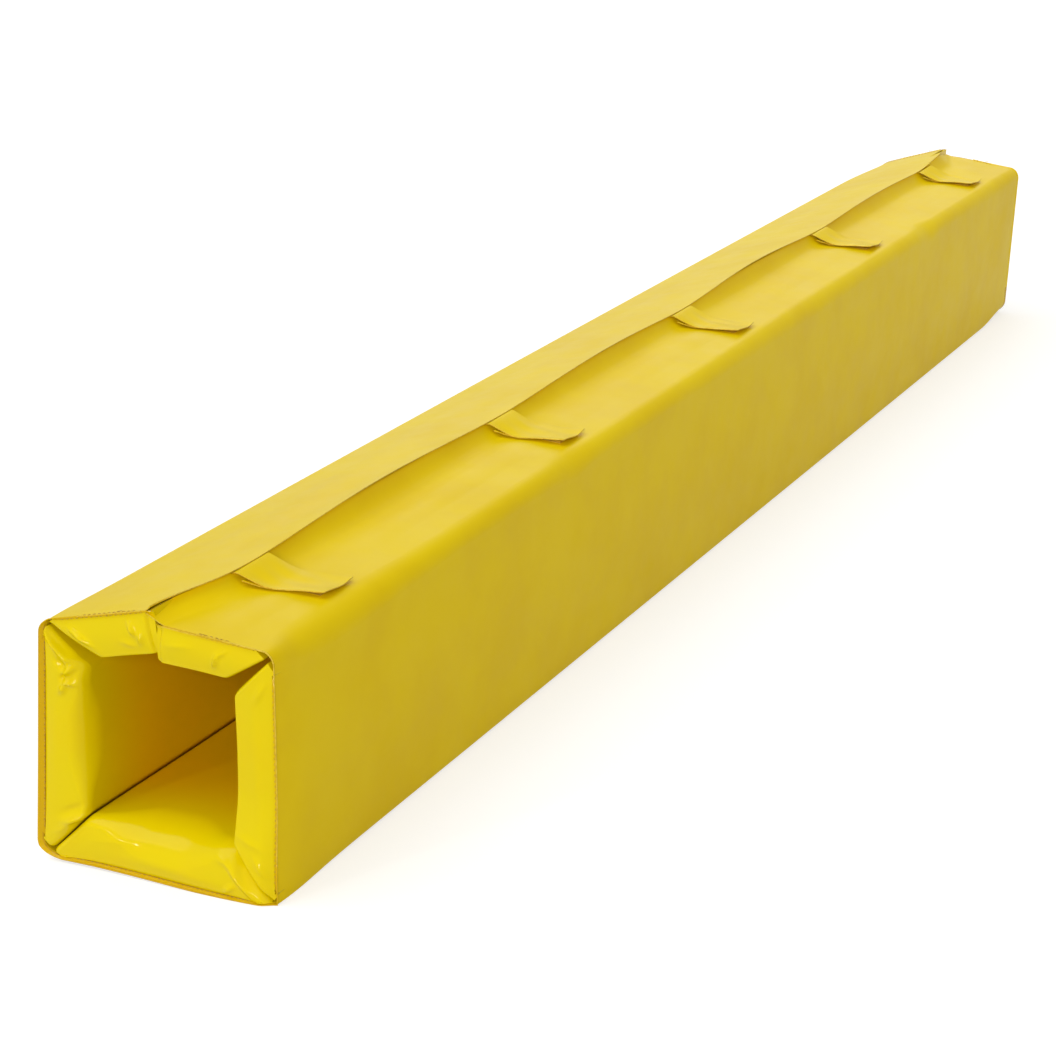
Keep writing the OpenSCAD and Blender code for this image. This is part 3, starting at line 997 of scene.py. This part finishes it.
def pile(n, up, out, shape, radius):
    """The hooks or loops on a tape, standing up (out = 1) or hanging down (-1): one every 2 mm,
    each turned a little at random about its root."""
    r = np.random.default_rng(60 + n)
    half = TAPE_LONG / 2
    across = np.arange(TAPE_START + 1.5, TAPE_END - 1, 2.0)
    s, y = tape_place(n, across, np.arange(1.5 - half, half - 1, 2.0))
    s = s.ravel() + r.uniform(-0.3, 0.3, s.size)
    y = y.ravel() + r.uniform(-0.3, 0.3, y.size)
    x, z = on_top_right(s, -up + 0 * s)
    turn = r.uniform(-0.5, 0.5, s.size)
    flat = np.cos(turn)
    xs = np.stack([flat * cos(RIGHT_TIP), np.sin(turn), -flat * sin(RIGHT_TIP)], -1)
    zs = np.repeat([[out * sin(RIGHT_TIP), 0, out * cos(RIGHT_TIP)]], s.size, 0)
    roots = settle(np.stack([x, y, z], -1))
    return many(thin_rod(shape, radius), roots, xs, np.cross(zs, xs), zs)


arch = np.linspace(0, pi, 7)
LOOP_SHAPE = np.stack([0.75 * np.cos(arch), 0.95 * np.sin(arch)], -1)
HOOK_SHAPE = np.array([(0, 0), (0, 0.45), (0.05, 0.8), (0.3, 1.0), (0.6, 0.92), (0.72, 0.62)])

for n in range(TAB_COUNT):
    for kind, up, out, shape, radius, body, material in (
        ("hook", HOOKS_UP, -1, HOOK_SHAPE, 0.13, f"tab_{n + 1}_body", HOOK),
        ("loop", LOOPS_UP, 1, LOOP_SHAPE, 0.10, "right_top_half", LOOP),
    ):
        piece = cloth(f"{kind}_tape_cloth_{n + 1}", tape_grid(n, up), (0, 0, 1), material, material)
        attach(piece, body)
        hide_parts(f"{kind}_tape_{n + 1}")
        root = up - SHEET if out < 0 else up
        points, quads = pile(n, root, out, shape, radius)
        piece = new_mesh(f"{kind}_tape_pile_{n + 1}", points, quads, material, 60)
        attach(piece, body)


# Stitches along the end seams

STITCH_LONG = 3.0
STITCH_PITCH = 4.4
STITCH_RISE = [-0.25, 0.12, 0.2, 0.12, -0.25]
STITCH_SHAPE = np.stack([np.linspace(-0.5, 0.5, 5) * STITCH_LONG, STITCH_RISE], -1)
STITCH_ROD = thin_rod(STITCH_SHAPE, [0.22, 0.36, 0.4, 0.36, 0.22])


def stitch_row(line, out):
    """Stitches along a line of points, proud of the cloth in the direction out."""
    far = np.concatenate([[0], np.cumsum(np.linalg.norm(np.diff(line, axis=0), axis=1))])
    at = np.arange(STITCH_PITCH, far[-1] - STITCH_LONG, STITCH_PITCH)
    first, last = (np.stack([np.interp(at + d, far, v) for v in line.T], -1) for d in (-1.2, 1.2))
    xs = unit(last - first)
    zs = np.broadcast_to(out, xs.shape)
    ys = unit(np.cross(zs, xs))
    return many(STITCH_ROD, (first + last) / 2 + zs * 0.15, xs, ys, np.cross(xs, ys))


def thread_end(start, way, seed):
    """A loose thread end: it leaves start along way and curls down in a short arc."""
    r = np.random.default_rng(seed)
    k = np.linspace(0, 1, 8)
    path = np.stack([k * r.uniform(4, 8), 1.4 * np.sin(2.4 * k) * r.uniform(-1, 1)], -1)
    way = unit(np.array([way]))
    side = unit(np.cross(way, [0, 0, 1]))
    return many(thin_rod(path, 0.26), start[None], way, side, np.cross(side, way))


def joined(parts):
    """Several meshes' points and quads as one."""
    points, quads = zip(*parts)
    starts = np.cumsum([0] + [len(p) for p in points[:-1]])
    return np.concatenate(points), np.concatenate([q + start for q, start in zip(quads, starts)])


def seam_line(grid, end):
    """The seam allowance's row next to the seam, after settling, at the front or back end."""
    return settle(grid[2] if end < 0 else grid[-3])


for panel in PANELS:
    lining = lining_grid(panel)[0]
    nx, nz = face_normal(panel)
    parts = []
    for end in (-1, 1):
        inner = np.array([0.2 * -nx, end * 0.97, 0.2 * -nz])
        parts.append(stitch_row(seam_line(lining, end)[3:-3], inner))
        if panel.startswith("top"):
            line = seam_line(cover_grid(panel)[:, :41], end)
            parts.append(stitch_row(line, np.array([nx, 0, nz])))
            for k, at in enumerate((17, 30)):
                way = (0.7 - k * 1.1, 0.8 * end, 0.1)
                parts.append(thread_end(line[at], way, 300 + 10 * len(panel) + k))
    piece = new_mesh(f"end_stitches_{panel}", *joined(parts), THREAD, 60)
    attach(piece, BODY[panel])


# Floor, lights, world and camera

def seen_directly(tree):
    """1 for rays from the camera, a reflection or a transmission, 0 for the rest."""
    path = node(tree, "LightPath")
    seen = path["Is Camera Ray"]
    for other in ("Is Glossy Ray", "Is Transmission Ray"):
        seen = node(tree, "Math", (seen, path[other]), operation="MAXIMUM")[0]
    return seen


def stage_floor():
    """A large pale floor: near white with the object's shadow in it to the camera and reflections,
    and light grey in the light that it throws back on the object."""
    m = bpy.data.materials.new("pale_floor")
    m.use_nodes = True
    t = m.node_tree
    t.nodes.clear()
    grey = node(t, "BsdfDiffuse", {"Color": (0.62, 0.62, 0.62, 1)})
    pale = node(t, "BsdfDiffuse", {"Color": (0.5, 0.5, 0.5, 1)})
    glow = node(t, "Emission", {"Color": (1, 1, 1, 1), "Strength": 0.62})
    both = node(t, "AddShader", (pale[0], glow[0]))
    mix = node(t, "MixShader", (seen_directly(t), grey[0], both[0]))
    node(t, "OutputMaterial", {"Surface": mix[0]})
    half = 40 * MM
    corners = [(half * i, half * j, -0.4) for i, j in ((-1, -1), (1, -1), (1, 1), (-1, 1))]
    new_mesh("floor", corners, [[0, 1, 2, 3]], m, None)


def stage_world():
    """Even white light from all round, white where the camera or a reflection sees it."""
    world = bpy.data.worlds.new("studio")
    scene.world = world
    world.use_nodes = True
    t = world.node_tree
    t.nodes.clear()
    strength = node(t, "MapRange", (seen_directly(t), 0, 1, 0.36, 1), **SMOOTH)
    back = node(t, "Background", {"Color": (1, 1, 1, 1), "Strength": strength[0]})
    node(t, "OutputWorld", {"Surface": back[0]})


def stand(name, data, side, up, back, place):
    """An object at place, in metres, with its own axes along side, up and back."""
    m = np.eye(4)
    m[:3] = np.stack([side, up, back, place], 1)
    thing = bpy.data.objects.new(name, data)
    thing.matrix_world = Matrix(m.tolist())
    scene.collection.objects.link(thing)
    return thing


def lamp(name, kind, place, strength, tint=(1, 1, 1), **settings):
    """A lamp at place (in metres) that shines towards the middle; a sun only has its direction."""
    data = bpy.data.lights.new(name, kind)
    data.energy = strength
    data.color = tint
    for key, value in settings.items():
        setattr(data, key, value)
    back = unit(np.array(place))
    side = unit(np.cross([0, 0, 1], back))
    stand(name, data, side, np.cross(back, side), back, place)


stage_floor()
stage_world()
# Suns: direction, share of the light that shows a colour as written, tint and width in degrees
for name, place, share, tint, wide in (
    ("key_sun", (-0.32, -0.26, 0.91), 0.39, (0.98, 1.0, 1.0), 50),
    ("camera_sun", (0.30, -0.89, 0.31), 0.48, (1.0, 0.98, 0.94), 18),
    ("fill_sun", (0.95, -0.15, 0.12), 0.13, (1.0, 0.78, 0.4), 60),
):
    lamp(name, "SUN", place, pi * share, tint, angle=radians(wide))
# Boxes, whose reflections are the highlights: place, watts, width and height in metres
for name, place, watts, wide, high in (
    ("soft_box", (-1.3, -4.2, 1.9), 15.0, 0.12, 0.16),
    ("glint_box", (1.1, -3.2, 1.25), 2.2, 0.048, 0.066),
    ("sky_box", (-2.2, 5.0, 2.6), 52.0, 4.0, 2.0),
):
    lamp(name, "AREA", place, watts, shape="RECTANGLE", size=wide, size_y=high)

# The photograph's viewpoint, worked out from the sleeve's own edges: place in metres; azimuth,
# elevation and roll in radians; lens and sensor in mm
CAMERA_PLACE = (1.01632, -2.50905, 0.85186)
CAMERA_TURNS = (0.43953, 0.31227, -0.02122)
CAMERA_LENS, CAMERA_SENSOR = 90.07, 36.0


def photo_camera():
    """The camera looks along its azimuth and down by its elevation, and is rolled."""
    data = bpy.data.cameras.new("camera")
    data.sensor_width = CAMERA_SENSOR
    data.lens = CAMERA_LENS
    data.clip_end = 200
    az, el, roll = CAMERA_TURNS
    ahead = np.array([-sin(az) * cos(el), cos(az) * cos(el), -sin(el)])
    right = np.array([cos(az), sin(az), 0])
    up = np.cross(right, ahead)
    side = cos(roll) * right + sin(roll) * up
    up = -sin(roll) * right + cos(roll) * up
    scene.camera = stand("camera", data, side, up, -ahead, CAMERA_PLACE)


photo_camera()
scene.view_settings.view_transform = "Standard"
